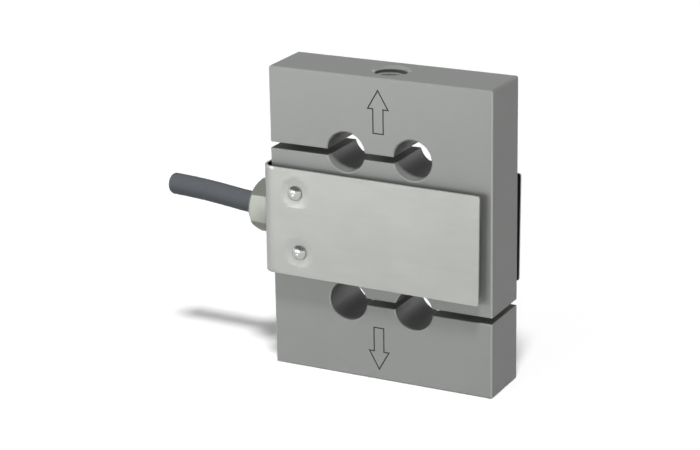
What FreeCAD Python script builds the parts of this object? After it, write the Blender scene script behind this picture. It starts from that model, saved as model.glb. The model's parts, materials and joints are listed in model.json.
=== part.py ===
import FreeCAD, Part
import math
import os
import Sketcher
from FreeCAD import Placement, Rotation, Vector

# S type load cell: a slotted steel beam with a gauge window in its middle, a bent sheet cover
# that is riveted to the fixed column, and a cable that comes in through a hexagon gland.
# Frame: +X across the front, +Y from the front face to the back face, +Z up along the load line.
# Origin: mouth of the lower threaded hole, in the middle of the bottom face. Millimetres, degrees.

SIZES = [
    # beam
    ("beam_width", 50.0, "beam across the front"),
    ("beam_height", 65.0, "beam along the load line"),
    ("beam_thickness", 13.0, "beam from front face to back face"),
    ("beam_edge", 0.5, "chamfer on the beam's outer edges"),
    ("hole_diameter", 8.5, "each of the four relief holes"),
    ("hole_spacing", 15.0, "between the two holes of a pair"),
    ("hole_level", 16.1, "from mid height to the hole centres"),
    ("hole_rim", 0.3, "chamfer on the relief holes"),
    ("slot_width", 1.4, "sawn slots"),
    ("slot_level", 15.65, "from mid height to the middle of a slot"),
    ("window_corner", 2.0, "gauge window corner radius"),
    ("window_margin", 0.5, "flat window wall beyond a gauge"),
    ("flexure", 2.2, "metal between a relief hole and the gauge window"),
    ("thread_drill", 6.8, "tapping drill of the M8 load threads"),
    ("thread_depth", 13.0, "full depth of the load threads"),
    ("thread_mouth", 0.25, "chamfer at the thread mouths"),
    ("drill_half_angle", 59.0, "half the drill point's angle"),
    # cover
    ("sheet", 0.5, "cover sheet thickness"),
    ("standoff", 2.0, "air between the beam's faces and the cover"),
    ("side_gap", 0.65, "air between the beam's left side and the cover"),
    ("bend_radius", 2.5, "outside radius of the cover's bends"),
    ("cover_height", 23.2, "cover from top edge to bottom edge"),
    ("cover_rise", 0.25, "cover's middle above the cable bore"),
    ("front_reach", 48.2, "front leaf, from the beam's left side to its free edge"),
    ("back_reach", 49.6, "back leaf, from the beam's left side to its free edge"),
    ("leaf_corner", 0.8, "radius of the leaf corners"),
    ("cover_tilt", 0.6, "cover sits slightly turned about the cable bore"),
    ("play", 0.08, "clearance that lets the cover sit turned"),
    # rivets
    ("rivet_inset", 7.15, "rivet line from the beam's left side"),
    ("rivet_pitch", 12.8, "between the two rivets of a face"),
    ("rivet_rise", 0.3, "middle of the rivets above the cable bore"),
    ("rivet_lean", 0.35, "each rivet off the rivet line"),
    ("rivet_shank", 2.0, "rivet shank diameter"),
    ("rivet_head", 3.2, "rivet head diameter"),
    ("rivet_dome", 0.9, "rivet head height"),
    ("rivet_rim", 0.15, "straight edge under the dome"),
    ("rivet_bite", 4.0, "rivet length inside the beam"),
    ("rivet_fit", 0.2, "radial clearance in the cover and the spacers"),
    ("spacer_wall", 1.2, "wall of the tube spacers"),
    # gland
    ("gland_flats", 10.0, "hexagon across flats"),
    ("gland_hexagon", 4.8, "hexagon's length along its flats"),
    ("gland_slope", 37.0, "slope of the coned nose"),
    ("gland_turn", 23.0, "hexagon turned about the cable"),
    ("gland_shank", 8.0, "threaded shank diameter"),
    ("gland_grip", 6.0, "shank length inside the beam"),
    ("gland_seat", 1.5, "width of the washers under the hexagon"),
    ("shank_fit", 0.15, "radial clearance round the shank"),
    ("washer", 0.4, "washer under the hexagon"),
    ("gasket", 0.35, "gasket on the beam's side"),
    ("recess_depth", 1.8, "recess for the rubber seal in the nose"),
    ("recess_wall", 0.55, "metal between the recess and the nose's end circle"),
    ("seal_wall", 0.525, "wall of the rubber seal"),
    # cable and inner parts
    ("cable_diameter", 4.6, "cable sheath"),
    ("cable_fit", 0.15, "radial clearance of the sheath in the gland"),
    ("seal_fit", 0.3, "radial clearance of the sheath in the rubber seal"),
    ("core_bore", 4.0, "bore from the gland to the window"),
    ("core_diameter", 0.9, "one insulated core"),
    ("core_gap", 0.2, "between neighbouring cores"),
    ("gauge_length", 5.0, "strain gauge along the flexure"),
    ("gauge_breadth", 4.0, "strain gauge through the beam"),
    ("gauge_thickness", 0.2, "strain gauge on its backing"),
    ("board_height", 10.0, "terminal board along the load line"),
    ("board_thickness", 0.8, "terminal board"),
    ("board_inset", 3.0, "window's left wall to the terminal board"),
    ("resistor_length", 3.2, "trim resistor"),
    ("resistor_breadth", 1.6, "trim resistor"),
    ("resistor_thickness", 0.55, "trim resistor"),
    ("resistor_gap", 1.4, "between the two trim resistors"),
    ("lead_thickness", 0.25, "flat gauge lead"),
    ("lead_breadth", 1.0, "flat gauge lead"),
    ("lead_offset", 1.1, "middle of a lead off the middle of the beam"),
    ("lead_bend", 0.6, "inside bend radius of a lead"),
    ("lead_gap", 0.1, "air between a lead and the gauge that it passes"),
    ("chamber", 6.6, "gauge chamber between the two layers of potting"),
    ("potting_recess", 0.3, "potting below the beam's faces"),
]

# The cable's route from its inner end to its cut end, taken from the cable bore's mouth.
CABLE_ROUTE = [
    Vector(4.0, 0, 0),
    Vector(-2.4, 0, 0),
    Vector(-8.9, 0, 0.12),
    Vector(-15.5, 0, 1.0),
    Vector(-22.0, 0, 1.67),
    Vector(-28.15, 0, 1.95),
]
ARC_SHARE = 0.45     # part of the shorter run that an arc of the cable takes up

doc = FreeCAD.newDocument("s_type_load_cell")
sheet = doc.addObject("Spreadsheet::Sheet", "sizes")


class Size:
    """A length or angle that carries both its value and its spreadsheet expression."""

    def __init__(self, value, text):
        self.value = value
        self.text = text

    def __add__(self, other):
        other = size(other)
        return Size(self.value + other.value, f"({self.text} + {other.text})")

    def __sub__(self, other):
        other = size(other)
        return Size(self.value - other.value, f"({self.text} - {other.text})")

    def __mul__(self, other):
        other = size(other)
        return Size(self.value * other.value, f"({self.text} * {other.text})")

    def __truediv__(self, other):
        other = size(other)
        return Size(self.value / other.value, f"({self.text} / {other.text})")

    def __neg__(self):
        return Size(-self.value, f"(0 - {self.text})")

    __radd__ = __add__
    __rmul__ = __mul__

    def __rsub__(self, other):
        return size(other) - self


def size(given):
    """A plain number as a Size, and a Size as it is."""
    if isinstance(given, Size):
        return given
    return Size(float(given), f"({float(given)})")


def tangent(angle):
    return Size(math.tan(math.radians(angle.value)), f"tan({angle.text} * 1deg)")


def cosine(angle):
    return Size(math.cos(math.radians(angle.value)), f"cos({angle.text} * 1deg)")


class Sizes:
    """The spreadsheet's named sizes, one attribute each."""

    def __init__(self, rows):
        sheet.set("A1", "name")
        sheet.set("B1", "value")
        sheet.set("C1", "meaning")
        for row, (name, value, meaning) in enumerate(rows, start=2):
            sheet.set(f"A{row}", name)
            sheet.set(f"B{row}", str(value))
            sheet.set(f"C{row}", meaning)
            sheet.setAlias(f"B{row}", name)
            setattr(self, name, Size(value, f"sizes.{name}"))
        doc.recompute()


# ---- helpers for sketches and features ----

def bind(item, path, wanted):
    """Ties one property of an object to a Size."""
    item.setExpression(path, size(wanted).text)


def newBody(label, offset=None, axis=None, angle=None):
    """A body with its label, moved to offset and turned by angle about axis."""
    body = doc.addObject("PartDesign::Body", label)
    body.Label = label
    place(body, offset, axis, angle)
    return body


def place(item, offset=None, axis=None, angle=None):
    """Binds an object's placement to three Sizes and a turn about an axis."""
    if axis is not None:
        item.Placement = Placement(Vector(), Rotation(axis, size(angle).value))
        bind(item, "Placement.Rotation.Angle", angle)
    for letter, distance in zip("xyz", offset or ()):
        bind(item, f"Placement.Base.{letter}", distance)


def newSketch(body, name, role, lift=0):
    """A sketch on one of the body's origin planes, lifted along the plane's normal."""
    sketch = body.newObject("Sketcher::SketchObject", name)
    plane = next(f for f in body.Origin.OriginFeatures if f.Role == role)
    sketch.AttachmentSupport = (plane, [""])
    sketch.MapMode = "FlatFace"
    bind(sketch, "AttachmentOffset.Base.z", lift)
    return sketch


def dimension(sketch, kind, *where):
    """Adds a dimension whose last argument is a Size, bound to the spreadsheet."""
    wanted = size(where[-1])
    number = sketch.addConstraint(Sketcher.Constraint(kind, *where[:-1], wanted.value))
    sketch.setExpression(f"Constraints[{number}]", wanted.text)


def relate(sketch, kind, *where):
    sketch.addConstraint(Sketcher.Constraint(kind, *where))


def pin(sketch, geometry, end, across, up):
    """Places one point of a sketch by its distances from the sketch's origin."""
    for kind, axis_line, wanted in (("DistanceX", -2, size(across)), ("DistanceY", -1, size(up))):
        if wanted.value == 0:
            relate(sketch, "PointOnObject", geometry, end, axis_line)
        else:
            dimension(sketch, kind, -1, 1, geometry, end, wanted)


def outline(sketch, corners):
    """A closed polygon through the given pairs of Sizes."""
    points = [Vector(size(a).value, size(b).value, 0) for a, b in corners]
    first = sketch.GeometryCount
    for start, stop in zip(points, points[1:] + points[:1]):
        sketch.addGeometry(Part.LineSegment(start, stop))
    count = len(points)
    for index in range(count):
        relate(sketch, "Coincident", first + index, 2, first + (index + 1) % count, 1)
    for index, (across, up) in enumerate(corners):
        pin(sketch, first + index, 1, across, up)


def rectangle(sketch, left, right, low, high):
    outline(sketch, [(left, low), (right, low), (right, high), (left, high)])


def circle(sketch, across, up, diameter):
    """A circle placed and sized by Sizes."""
    centre = Vector(size(across).value, size(up).value, 0)
    number = sketch.addGeometry(Part.Circle(centre, Vector(0, 0, 1), diameter.value / 2))
    pin(sketch, number, 3, across, up)
    dimension(sketch, "Diameter", number, diameter)


def pad(body, sketch, length, middle=False, backwards=False):
    feature = body.newObject("PartDesign::Pad", f"{sketch.Name}_pad")
    feature.Profile = sketch
    feature.SideType = "Symmetric" if middle else "One side"
    feature.Reversed = backwards
    bind(feature, "Length", length)
    doc.recompute()
    return feature


def pocket(body, sketch, length=None, backwards=False):
    """A pocket of the given length, or right through both ways."""
    before = body.Shape.Volume
    feature = body.newObject("PartDesign::Pocket", f"{sketch.Name}_pocket")
    feature.Profile = sketch
    if length is None:
        feature.SideType = "Symmetric"
        feature.Type = "ThroughAll"
    else:
        feature.Reversed = backwards
        bind(feature, "Length", length)
    doc.recompute()
    checkCut(body, feature, before)
    return feature


def groove(body, sketch, axis):
    """A full turn of cut about one of the sketch's axes."""
    before = body.Shape.Volume
    feature = body.newObject("PartDesign::Groove", f"{sketch.Name}_groove")
    feature.Profile = sketch
    feature.ReferenceAxis = (sketch, [axis])
    doc.recompute()
    checkCut(body, feature, before)
    return feature


def revolution(body, sketch, axis):
    feature = body.newObject("PartDesign::Revolution", f"{sketch.Name}_revolution")
    feature.Profile = sketch
    feature.ReferenceAxis = (sketch, [axis])
    doc.recompute()
    return feature


def checkCut(body, feature, before):
    if body.Shape.Volume >= before:
        raise RuntimeError(f"{feature.Name} in {body.Label} cuts nothing")


def edgesWhere(shape, test):
    """Names of the shape's edges that pass a test."""
    return [f"Edge{number}" for number, edge in enumerate(shape.Edges, start=1) if test(edge)]


def dress(body, kind, name, test, amount):
    """A fillet or a chamfer on the edges of the body's tip that pass a test."""
    base = body.Tip
    feature = body.newObject(f"PartDesign::{kind}", name)
    feature.Base = (base, edgesWhere(base.Shape, test))
    bind(feature, "Radius" if kind == "Fillet" else "Size", amount)
    doc.recompute()
    return feature


def near(value, wanted):
    return abs(value - size(wanted).value) < 1e-4


def runsAlong(edge, axis):
    """True for a straight edge along x, y or z."""
    if not isinstance(edge.Curve, Part.Line):
        return False
    direction = edge.Curve.Direction
    return abs(abs(getattr(direction, axis)) - 1) < 1e-6


# ---- beam ----

def drilledHole(body, name, mouth, inward):
    """A tapping hole with a chamfered mouth and a drill point, turned about the load line."""
    radius = d.thread_drill / 2
    point = radius / tangent(d.drill_half_angle)
    levels = [0, d.thread_mouth, d.thread_depth, d.thread_depth + point]
    mouth_z, chamfer_z, floor_z, tip_z = [mouth + inward * size(level) for level in levels]
    sketch = newSketch(body, name, "XZ_Plane")
    outline(sketch, [(0, mouth_z), (radius + d.thread_mouth, mouth_z), (radius, chamfer_z),
                     (radius, floor_z), (0, tip_z)])
    groove(body, sketch, "V_Axis")


def makeBeam():
    """The S shaped body: relief holes, slots, gauge window, load threads and cable bore."""
    half_width = d.beam_width / 2
    half_depth = d.beam_thickness / 2
    body = newBody("beam")
    sketch = newSketch(body, "beam_outline", "XZ_Plane")
    rectangle(sketch, -half_width, half_width, 0, d.beam_height)
    pad(body, sketch, d.beam_thickness, middle=True)
    dress(body, "Chamfer", "beam_edges", lambda edge: True, d.beam_edge)

    sketch = newSketch(body, "relief_holes", "XZ_Plane")
    for side in (-1, 1):
        for level in (-1, 1):
            circle(sketch, side * d.hole_spacing / 2, mid_height + level * d.hole_level, d.hole_diameter)
    pocket(body, sketch)

    def rim(edge):
        round_edge = isinstance(edge.Curve, Part.Circle) and near(edge.Curve.Radius, d.hole_diameter / 2)
        return round_edge and near(abs(edge.Curve.Center.y), half_depth)

    dress(body, "Chamfer", "hole_rims", rim, d.hole_rim)

    overrun = d.beam_edge * 2
    for name, side in (("upper_slot", 1), ("lower_slot", -1)):
        sketch = newSketch(body, name, "XZ_Plane")
        inner = side * d.hole_spacing / 2
        outer = -side * (half_width + overrun)
        level = mid_height + side * d.slot_level
        ends = (outer, inner) if side > 0 else (inner, outer)
        rectangle(sketch, ends[0], ends[1], level - d.slot_width / 2, level + d.slot_width / 2)
        pocket(body, sketch)

    sketch = newSketch(body, "gauge_window", "XZ_Plane")
    rectangle(sketch, -window_half, window_half, window_low, window_high)
    pocket(body, sketch)

    def windowCorner(edge):
        if not runsAlong(edge, "y"):
            return False
        at = edge.CenterOfMass
        return near(abs(at.x), window_half) and (near(at.z, window_low) or near(at.z, window_high))

    dress(body, "Fillet", "window_corners", windowCorner, d.window_corner)

    drilledHole(body, "top_thread", d.beam_height, -1)
    drilledHole(body, "bottom_thread", size(0), 1)

    sketch = newSketch(body, "shank_bore", "YZ_Plane", -half_width)
    circle(sketch, 0, mid_height, d.gland_shank)
    pocket(body, sketch, d.gland_grip, backwards=True)
    sketch = newSketch(body, "core_bore", "YZ_Plane", -half_width)
    circle(sketch, 0, mid_height, d.core_bore)
    pocket(body, sketch, half_width - window_half, backwards=True)

    for name, side in (("front_rivet_holes", 1), ("back_rivet_holes", -1)):
        sketch = newSketch(body, name, "XZ_Plane", side * half_depth)
        for across, up in rivetPlaces():
            circle(sketch, across - half_width, mid_height + up, d.rivet_shank)
        pocket(body, sketch, d.rivet_bite, backwards=side < 0)
    return body


def rivetPlaces():
    """Upper and lower rivet, measured from the cable bore's mouth."""
    return [(d.rivet_inset + level * -d.rivet_lean, d.rivet_rise + level * d.rivet_pitch / 2)
            for level in (1, -1)]


# ---- cover, rivets and spacers ----

def makeCover():
    """One bent sheet: front leaf, web over the beam's left side, back leaf."""
    inner_y = d.beam_thickness / 2 + d.standoff
    outer_y = inner_y + d.sheet
    inner_x = -d.side_gap
    outer_x = inner_x - d.sheet
    body = newBody("cover", gland_mouth, Vector(0, 1, 0), d.cover_tilt)
    sketch = newSketch(body, "cover_section", "XY_Plane", d.cover_rise)
    outline(sketch, [(outer_x, -outer_y), (d.front_reach, -outer_y), (d.front_reach, -inner_y),
                     (inner_x, -inner_y), (inner_x, inner_y), (d.back_reach, inner_y),
                     (d.back_reach, outer_y), (outer_x, outer_y)])
    pad(body, sketch, d.cover_height, middle=True)

    def bend(x, y):
        return lambda edge: (runsAlong(edge, "z") and near(edge.CenterOfMass.x, x)
                             and near(abs(edge.CenterOfMass.y), y))

    dress(body, "Fillet", "outer_bends", bend(outer_x, outer_y), d.bend_radius)
    dress(body, "Fillet", "inner_bends", bend(inner_x, inner_y), d.bend_radius - d.sheet)

    def leafCorner(edge):
        at = edge.CenterOfMass
        return runsAlong(edge, "y") and (near(at.x, d.front_reach) or near(at.x, d.back_reach))

    dress(body, "Fillet", "leaf_corners", leafCorner, d.leaf_corner)

    sketch = newSketch(body, "gland_hole", "YZ_Plane", outer_x)
    circle(sketch, 0, 0, d.gland_shank + d.shank_fit * 2)
    pocket(body, sketch, d.sheet, backwards=True)
    sketch = newSketch(body, "rivet_holes", "XZ_Plane")
    for across, up in rivetPlaces():
        circle(sketch, across, up, d.rivet_shank + d.rivet_fit * 2)
    pocket(body, sketch)
    return body


def makeRivet(label, side, across, up):
    """A drive rivet: domed head on the cover, shank through the spacer into the beam."""
    face = d.beam_thickness / 2 + d.standoff + d.sheet
    seat = (across - d.beam_width / 2, side * face, mid_height + up)
    body = newBody(label, seat, Vector(1, 0, 0), size(-90 * side))
    shank = d.rivet_shank / 2
    head = d.rivet_head / 2
    foot = -(d.sheet + d.standoff + d.rivet_bite)
    sketch = newSketch(body, f"{label}_profile", "XZ_Plane")
    crown = (d.rivet_dome - d.rivet_rim).value
    centre_z = (d.rivet_dome.value + d.rivet_rim.value) / 2 - head.value ** 2 / (2 * crown)
    corners = [(0, foot), (shank, foot), (shank, 0), (head, 0), (head, d.rivet_rim)]
    points = [Vector(size(a).value, size(b).value, 0) for a, b in corners]
    top = Vector(0, d.rivet_dome.value, 0)
    for start, stop in zip(points, points[1:]):
        sketch.addGeometry(Part.LineSegment(start, stop))
    dome = sketch.addGeometry(roundArc(points[-1], top, centre_z))
    axis_line = sketch.addGeometry(Part.LineSegment(top, points[0]))
    for index in range(dome - 1):
        relate(sketch, "Coincident", index, 2, index + 1, 1)
    relate(sketch, "Coincident", dome - 1, 2, dome, 1)
    relate(sketch, "Coincident", dome, 2, axis_line, 1)
    relate(sketch, "Coincident", axis_line, 2, 0, 1)
    for index, (out, level) in enumerate(corners):
        pin(sketch, index if index < dome else dome - 1, 1 if index < dome else 2, out, level)
    pin(sketch, axis_line, 1, 0, d.rivet_dome)
    relate(sketch, "PointOnObject", dome, 3, -2)
    revolution(body, sketch, "V_Axis")
    return body


def roundArc(start, stop, centre_z):
    """The arc from start up to stop about a centre on the sketch's upright axis."""
    centre = Vector(0, centre_z, 0)
    radius = (start - centre).Length
    first = math.atan2(start.y - centre.y, start.x - centre.x)
    return Part.ArcOfCircle(Part.Circle(centre, Vector(0, 0, 1), radius), first, math.pi / 2)


def makeRing(label, offset, axis, angle, outside, inside, height):
    """A flat ring: a spacer, a washer, a gasket or a seal."""
    body = newBody(label, offset, axis, angle)
    sketch = newSketch(body, f"{label}_section", "XY_Plane")
    circle(sketch, 0, 0, outside)
    circle(sketch, 0, 0, inside)
    pad(body, sketch, height)
    return body


def makeSpacer(label, side, across, up):
    seat = (across - d.beam_width / 2, side * d.beam_thickness / 2, mid_height + up)
    bore = d.rivet_shank + d.rivet_fit * 2
    return makeRing(label, seat, Vector(1, 0, 0), size(-90 * side),
                    bore + d.spacer_wall * 2, bore, d.standoff)


# ---- gland ----

def makeGland():
    """Hexagon with a coned nose, a shank that screws into the beam, and a stepped bore."""
    corner = d.gland_flats / (cosine(size(30)) * 2)
    seat = hexagon_seat
    nose = seat - d.gland_hexagon - gland_nose
    body = newBody("gland", gland_mouth, Vector(1, 0, 0), d.gland_turn)
    sketch = newSketch(body, "hexagon", "YZ_Plane", seat)
    for step in range(6):
        start, stop = [Vector(corner.value * math.cos(a), corner.value * math.sin(a), 0)
                       for a in (math.radians(60 * step), math.radians(60 * (step + 1)))]
        sketch.addGeometry(Part.LineSegment(start, stop))
    guide = sketch.addGeometry(Part.Circle(Vector(), Vector(0, 0, 1), corner.value), True)
    relate(sketch, "Coincident", guide, 3, -1, 1)
    dimension(sketch, "Radius", guide, corner)
    for step in range(6):
        relate(sketch, "Coincident", step, 2, (step + 1) % 6, 1)
        relate(sketch, "PointOnObject", step, 1, guide)
        if step:
            relate(sketch, "Equal", 0, step)
    relate(sketch, "PointOnObject", 0, 1, -1)
    pad(body, sketch, d.gland_hexagon + gland_nose, backwards=True)

    sketch = newSketch(body, "shank", "YZ_Plane", seat)
    circle(sketch, 0, 0, d.gland_shank)
    pad(body, sketch, d.gland_grip - seat)

    clear = corner + gland_nose
    rise = (clear - nose_radius) * tangent(d.gland_slope)
    sketch = newSketch(body, "nose_cone", "XZ_Plane")
    outline(sketch, [(nose, nose_radius), (nose + rise, clear), (nose, clear)])
    groove(body, sketch, "H_Axis")

    sketch = newSketch(body, "cable_bore", "YZ_Plane")
    circle(sketch, 0, 0, d.cable_diameter + d.cable_fit * 2)
    pocket(body, sketch)
    sketch = newSketch(body, "seal_recess", "YZ_Plane", nose)
    circle(sketch, 0, 0, seal_outside)
    pocket(body, sketch, d.recess_depth, backwards=True)
    return body


def alongCable(distance):
    """A point on the cable bore's axis, measured outwards from the beam's left side."""
    return (gland_mouth[0] - distance, gland_mouth[1], gland_mouth[2])


def makeGlandRings():
    """Washer under the hexagon, gasket on the beam and rubber seal in the nose."""
    axis = Vector(0, 1, 0)
    outwards = size(-90)
    shank_hole = d.gland_shank + d.shank_fit * 2
    washer_outside = shank_hole + d.gland_seat * 2
    washer_at = alongCable(-hexagon_seat - d.washer)
    makeRing("gland_washer", washer_at, axis, outwards, washer_outside, shank_hole, d.washer)
    makeRing("gland_gasket", alongCable(0), axis, outwards, washer_outside, shank_hole, d.gasket)
    floor = d.gland_hexagon + gland_nose - d.recess_depth - hexagon_seat
    makeRing("cable_seal", alongCable(floor), axis, outwards, seal_outside,
             d.cable_diameter + d.seal_fit * 2, d.recess_depth - d.cable_fit)


# ---- cable, cores, gauges, board and potting ----

def roundedPath(points, radii):
    """Straight runs joined by tangent arcs of the given radii."""
    edges = []
    at = points[0]
    for before, corner, after, radius in zip(points, points[1:], points[2:], radii):
        back = (before - corner).normalize()
        ahead = (after - corner).normalize()
        half_turn = (math.pi - back.getAngle(ahead)) / 2
        trim = radius * math.tan(half_turn)
        start = corner + back * trim
        stop = corner + ahead * trim
        inwards = (back + ahead).normalize()
        middle = corner + inwards * (radius / math.cos(half_turn) - radius)
        edges.append(Part.LineSegment(at, start).toShape())
        edges.append(Part.Arc(start, middle, stop).toShape())
        at = stop
    edges.append(Part.LineSegment(at, points[-1]).toShape())
    return Part.Wire(edges)


def tube(path, diameter):
    """A round solid along a path, checked against section times length."""
    start = path.Edges[0]
    along = start.tangentAt(start.FirstParameter)
    ring = Part.Circle(start.valueAt(start.FirstParameter), along, diameter / 2)
    solid = path.makePipeShell([Part.Wire([ring.toShape()])], True, False)
    expected = math.pi * diameter ** 2 / 4 * path.Length
    if abs(solid.Volume - expected) > 0.01 * expected:
        raise RuntimeError(f"tube volume {solid.Volume:.2f} instead of {expected:.2f}")
    return solid


def newFeature(label, shape, offset=Vector()):
    feature = doc.addObject("Part::Feature", label)
    feature.Label = label
    feature.Shape = shape
    feature.Placement = Placement(offset, Rotation())
    return feature


def makeCable():
    """The sheathed cable: straight through the gland, then rising slightly to its cut end."""
    radii = []
    for before, corner, after in zip(CABLE_ROUTE, CABLE_ROUTE[1:], CABLE_ROUTE[2:]):
        turn = (corner - before).getAngle(after - corner)
        shorter = min((corner - before).Length, (after - corner).Length)
        radii.append(ARC_SHARE * shorter / math.tan(turn / 2))
    path = roundedPath(CABLE_ROUTE, radii)
    print("cable radii", [round(radius, 1) for radius in radii], "length", round(path.Length, 2))
    mouth = Vector(*[part.value for part in gland_mouth])
    return newFeature("cable", tube(path, d.cable_diameter.value), mouth)


def makeRod(label, at, axis, angle, diameter, length):
    """A straight round piece."""
    body = newBody(label, at, axis, angle)
    sketch = newSketch(body, f"{label}_section", "XY_Plane")
    circle(sketch, 0, 0, diameter)
    pad(body, sketch, length)
    return body


def makeCores():
    """Four insulated cores, straight from the cable's inner end to the terminal board."""
    spread = (d.core_diameter + d.core_gap) / 2
    cable_end = -d.beam_width / 2 + CABLE_ROUTE[0].x
    cores = []
    for colour, across, up in (("red", -1, -1), ("black", 1, -1), ("green", -1, 1), ("white", 1, 1)):
        at = (cable_end, across * spread, mid_height + up * spread)
        cores.append(makeRod(f"core_{colour}", at, Vector(0, 1, 0), size(90),
                             d.core_diameter, board_back - cable_end))
    return cores


def makeBox(label, low, extent):
    """A box from its low corner and its three lengths."""
    box = doc.addObject("Part::Box", label)
    box.Label = label
    for name, length in zip(("Length", "Width", "Height"), extent):
        bind(box, name, length)
    place(box, low)
    return box


def makeBridge():
    """Four strain gauges on the flexures, the terminal board and its trim resistors."""
    pieces = []
    for across, side in (("left", -1), ("right", 1)):
        for level, low_z in (("upper", window_high - d.gauge_thickness), ("lower", window_low)):
            low = (side * d.hole_spacing / 2 - d.gauge_length / 2, -d.gauge_breadth / 2, low_z)
            extent = (d.gauge_length, d.gauge_breadth, d.gauge_thickness)
            pieces.append(makeBox(f"gauge_{level}_{across}", low, extent))
    low = (board_back, -d.chamber / 2, mid_height - d.board_height / 2)
    pieces.append(makeBox("terminal_board", low, (d.board_thickness, d.chamber, d.board_height)))
    for label, low_z in (("span_resistor", mid_height + d.resistor_gap / 2),
                         ("zero_resistor", mid_height - d.resistor_gap / 2 - d.resistor_breadth)):
        low = (board_back + d.board_thickness, -d.resistor_length / 2, low_z)
        extent = (d.resistor_thickness, d.resistor_length, d.resistor_breadth)
        pieces.append(makeBox(label, low, extent))
    return pieces


def makeLeads():
    """A flat lead from each gauge to the terminal board's near edge."""
    strip_x = board_back + (d.board_thickness - d.lead_thickness) / 2
    leads = []
    for level, up in (("upper", 1), ("lower", -1)):
        gauge_z = (window_high if up > 0 else window_low) - up * d.gauge_thickness
        edge_z = mid_height + up * d.board_height / 2
        label = f"lead_{level}_left"
        low_z = edge_z if up > 0 else gauge_z
        low = (strip_x, -d.lead_offset - d.lead_breadth / 2, low_z)
        extent = (d.lead_thickness, d.lead_breadth, (gauge_z - edge_z) * up)
        leads.append(makeBox(label, low, extent))
        leads.append(makeBentLead(f"lead_{level}_right", strip_x, gauge_z - up * d.lead_gap, edge_z, up))
    return leads


def makeBentLead(label, strip_x, near_z, edge_z, up):
    """The far gauge's lead: past the near gauge, then round one bend to the board."""
    far_z = near_z - up * d.lead_thickness
    end_x = d.hole_spacing / 2
    body = newBody(label)
    sketch = newSketch(body, f"{label}_side", "XZ_Plane", -d.lead_offset)
    inside_x = strip_x + d.lead_thickness
    outline(sketch, [(strip_x, edge_z), (inside_x, edge_z), (inside_x, far_z),
                     (end_x, far_z), (end_x, near_z), (strip_x, near_z)])
    pad(body, sketch, d.lead_breadth, middle=True)
    for name, x, z, radius in (("inner_bend", inside_x, far_z, d.lead_bend),
                               ("outer_bend", strip_x, near_z, d.lead_bend + d.lead_thickness)):
        dress(body, "Fillet", f"{label}_{name}", lambda edge, x=x, z=z: (
            runsAlong(edge, "y") and near(edge.CenterOfMass.x, x) and near(edge.CenterOfMass.z, z)), radius)
    return body


def makePotting(label, side):
    """Silicone that closes one side of the gauge window, a little below the beam's face."""
    outside = side * (d.beam_thickness / 2 - d.potting_recess)
    body = newBody(label)
    sketch = newSketch(body, f"{label}_outline", "XZ_Plane", -outside)
    rectangle(sketch, -window_half, window_half, window_low, window_high)
    pad(body, sketch, (d.beam_thickness - d.chamber) / 2 - d.potting_recess, backwards=side < 0)
    dress(body, "Fillet", f"{label}_corners", lambda edge: runsAlong(edge, "y"), d.window_corner)
    return body


# ---- the whole part ----

d = Sizes(SIZES)
mid_height = d.beam_height / 2
window_half = d.hole_spacing / 2 + d.gauge_length / 2 + d.window_margin + d.window_corner
window_high = mid_height + d.hole_level - d.hole_diameter / 2 - d.flexure
window_low = mid_height - d.hole_level + d.hole_diameter / 2 + d.flexure
gland_mouth = (-d.beam_width / 2, size(0), mid_height)
hexagon_seat = -(d.side_gap + d.sheet + d.play + d.washer)
seal_outside = d.cable_diameter + (d.seal_fit + d.seal_wall) * 2
nose_radius = seal_outside / 2 + d.recess_wall
gland_nose = (d.gland_flats / 2 - nose_radius) * tangent(d.gland_slope)
board_back = -window_half + d.board_inset

parts = [makeBeam(), makeCover()]
for face, side in (("front", -1), ("back", 1)):
    for level, (across, up) in zip(("upper", "lower"), rivetPlaces()):
        parts.append(makeRivet(f"rivet_{face}_{level}", side, across, up))
        parts.append(makeSpacer(f"spacer_{face}_{level}", side, across, up))
parts.append(makeGland())
makeGlandRings()
parts += [doc.getObject(name) for name in ("gland_washer", "gland_gasket", "cable_seal")]
parts.append(makeCable())
parts += makeCores() + makeBridge() + makeLeads()
parts += [makePotting("potting_front", -1), makePotting("potting_back", 1)]
doc.recompute()

for item in doc.Objects:
    if "Invalid" in item.State or "Error" in item.State:
        raise RuntimeError(f"{item.Name} failed: {item.State}")
os.makedirs("parts", exist_ok=True)
for item in parts:
    shape = item.Shape
    if shape.isNull() or not shape.isValid() or not shape.Solids:
        raise RuntimeError(f"{item.Label} has no valid solid")
    shape.exportStep(f"parts/{item.Label}.step")
    print(f"{item.Label:20s} solids {len(shape.Solids)} volume {shape.Volume:10.2f}")
print("nodes", len(parts))
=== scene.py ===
import json
import math
import bmesh
import bpy
from mathutils import Matrix, Vector


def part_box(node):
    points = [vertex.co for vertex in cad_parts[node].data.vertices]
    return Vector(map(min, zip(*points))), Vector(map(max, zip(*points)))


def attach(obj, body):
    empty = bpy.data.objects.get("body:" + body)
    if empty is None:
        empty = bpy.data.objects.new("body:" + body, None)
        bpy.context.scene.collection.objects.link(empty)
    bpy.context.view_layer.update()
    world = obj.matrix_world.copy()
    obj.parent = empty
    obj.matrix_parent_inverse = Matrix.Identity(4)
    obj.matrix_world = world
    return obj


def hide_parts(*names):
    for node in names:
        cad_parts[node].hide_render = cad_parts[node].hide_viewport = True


# An S type load cell on a plain floor. +X runs across the front, +Y from the front face to the
# back face and +Z up along the load line, in metres. Dictionaries give lengths in millimetres.

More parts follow.
